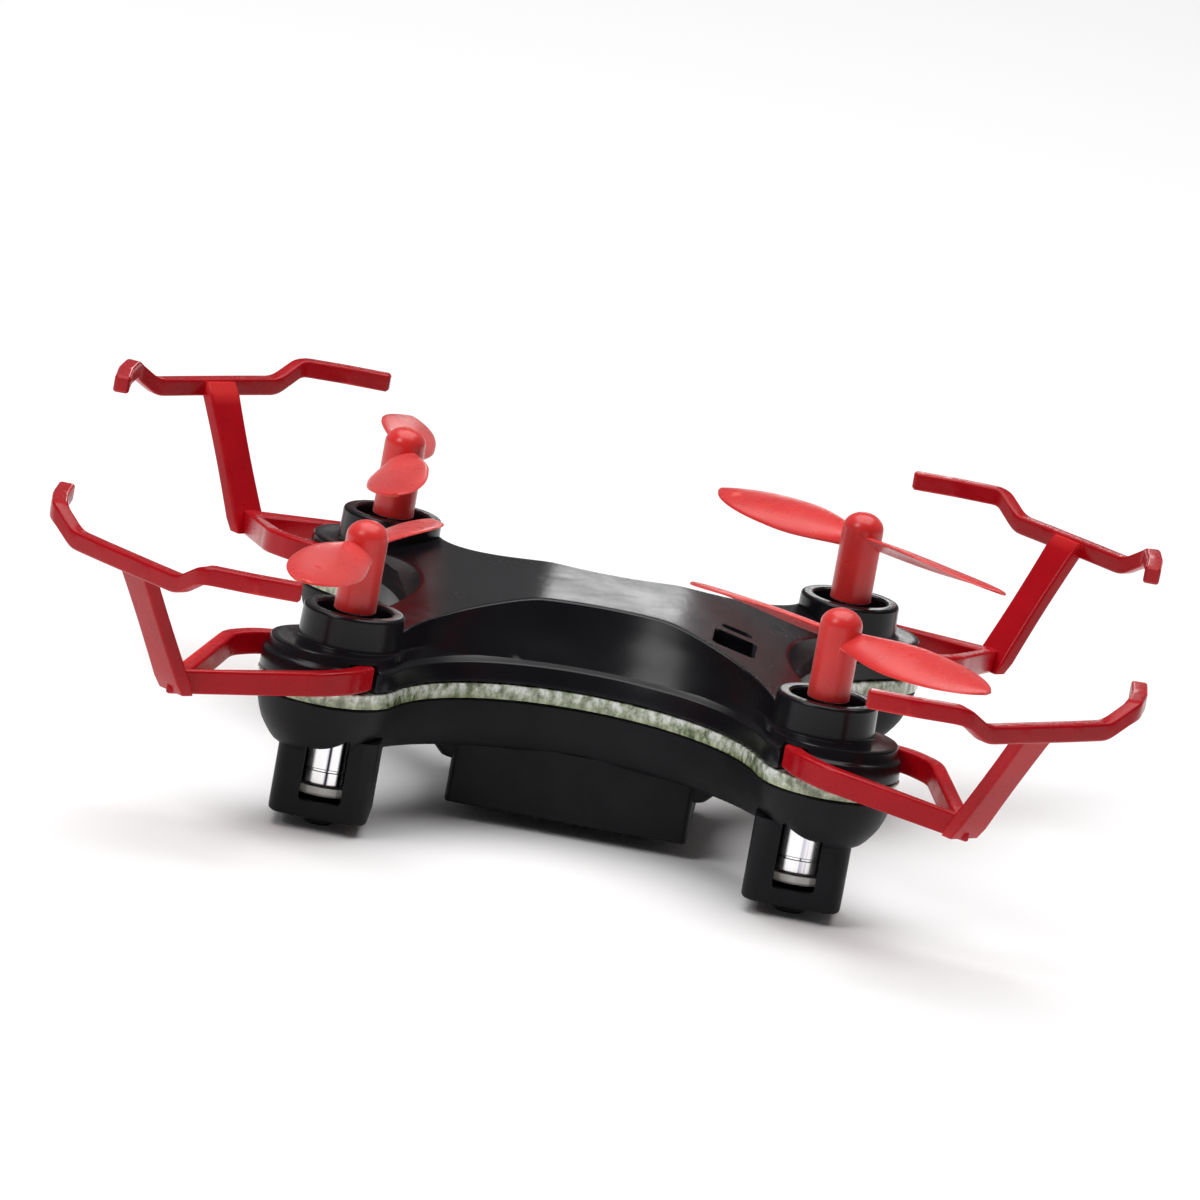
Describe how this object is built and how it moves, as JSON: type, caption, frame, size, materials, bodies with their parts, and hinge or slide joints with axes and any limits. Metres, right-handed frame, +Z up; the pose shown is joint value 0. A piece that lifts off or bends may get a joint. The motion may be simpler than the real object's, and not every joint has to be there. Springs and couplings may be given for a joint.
{
  "type": "mini palm drone",
  "caption": "Palm-size drone with a waisted two-shell body on motor legs, two-blade propellers on tall hubs, clip-on bumper guards, a slide switch and a battery door.",
  "frame": {"origin": "centre of the footprint, on the ground under the feet", "axes": "+Z up, +X along the body towards its switch end, +Y across the body towards its rear motors"},
  "size_m": [0.0826, 0.0826, 0.0235],
  "materials": {
    "shell": "satin black moulding",
    "band": "clear light pipe",
    "guard": "glossy deep red moulding",
    "prop": "flexible coral red moulding",
    "can": "drawn motor can",
    "steel": "plain steel",
    "nylon": "white nylon",
    "foot": "black plug",
    "board": "solder mask",
    "chip": "epoxy package",
    "led": "lamp lens",
    "knob": "ribbed knob",
    "pouch": "foil pouch",
    "lead": "insulated wire",
    "lead_red": "insulated wire"
  },
  "bodies": {
    "root": {"upper_shell": "shell", "lower_shell": "shell", "light_band": "band", "battery": "pouch", "circuit_board": "board", "flight_chip": "chip", "radio_chip": "chip", "motor_driver": "chip", "crystal": "steel", "battery_socket": "nylon", "switch_body": "steel", "battery_lead": "lead_red", "antenna_wire": "lead", "motor_can_front_left": "can", "motor_end_cap_front_left": "nylon", "guard_front_left": "guard", "foot_front_left": "foot", "screw_front_left": "steel", "led_front_left": "led", "motor_lead_front_left": "lead", "motor_can_front_right": "can", "motor_end_cap_front_right": "nylon", "guard_front_right": "guard", "foot_front_right": "foot", "screw_front_right": "steel", "led_front_right": "led", "motor_lead_front_right": "lead", "motor_can_rear_right": "can", "motor_end_cap_rear_right": "nylon", "guard_rear_right": "guard", "foot_rear_right": "foot", "screw_rear_right": "steel", "led_rear_right": "led", "motor_lead_rear_right": "lead", "motor_can_rear_left": "can", "motor_end_cap_rear_left": "nylon", "guard_rear_left": "guard", "foot_rear_left": "foot", "screw_rear_left": "steel", "led_rear_left": "led", "motor_lead_rear_left": "lead"},
    "rotor_front_left": {"propeller_front_left": "prop", "motor_shaft_front_left": "steel"},
    "rotor_front_right": {"propeller_front_right": "prop", "motor_shaft_front_right": "steel"},
    "rotor_rear_right": {"propeller_rear_right": "prop", "motor_shaft_rear_right": "steel"},
    "rotor_rear_left": {"propeller_rear_left": "prop", "motor_shaft_rear_left": "steel"},
    "switch": {"switch_knob": "knob"},
    "door": {"battery_door": "shell"}
  },
  "joints": [
    {"name": "spin_front_left", "type": "hinge", "parent": "root", "child": "rotor_front_left", "pos_m": [-0.018, -0.018, 0.0216], "axis": [0, 0, 1], "continuous": true},
    {"name": "spin_front_right", "type": "hinge", "parent": "root", "child": "rotor_front_right", "pos_m": [0.018, -0.018, 0.0216], "axis": [0, 0, 1], "continuous": true},
    {"name": "spin_rear_right", "type": "hinge", "parent": "root", "child": "rotor_rear_right", "pos_m": [0.018, 0.018, 0.0216], "axis": [0, 0, 1], "continuous": true},
    {"name": "spin_rear_left", "type": "hinge", "parent": "root", "child": "rotor_rear_left", "pos_m": [-0.018, 0.018, 0.0216], "axis": [0, 0, 1], "continuous": true},
    {"name": "power_switch", "type": "slide", "parent": "root", "child": "switch", "axis": [0, 1, 0], "range_m": [0, 0.0016]},
    {"name": "battery_door_slide", "type": "slide", "parent": "root", "child": "door", "axis": [1, 0, 0], "range_m": [0, 0.018]}
  ]
}
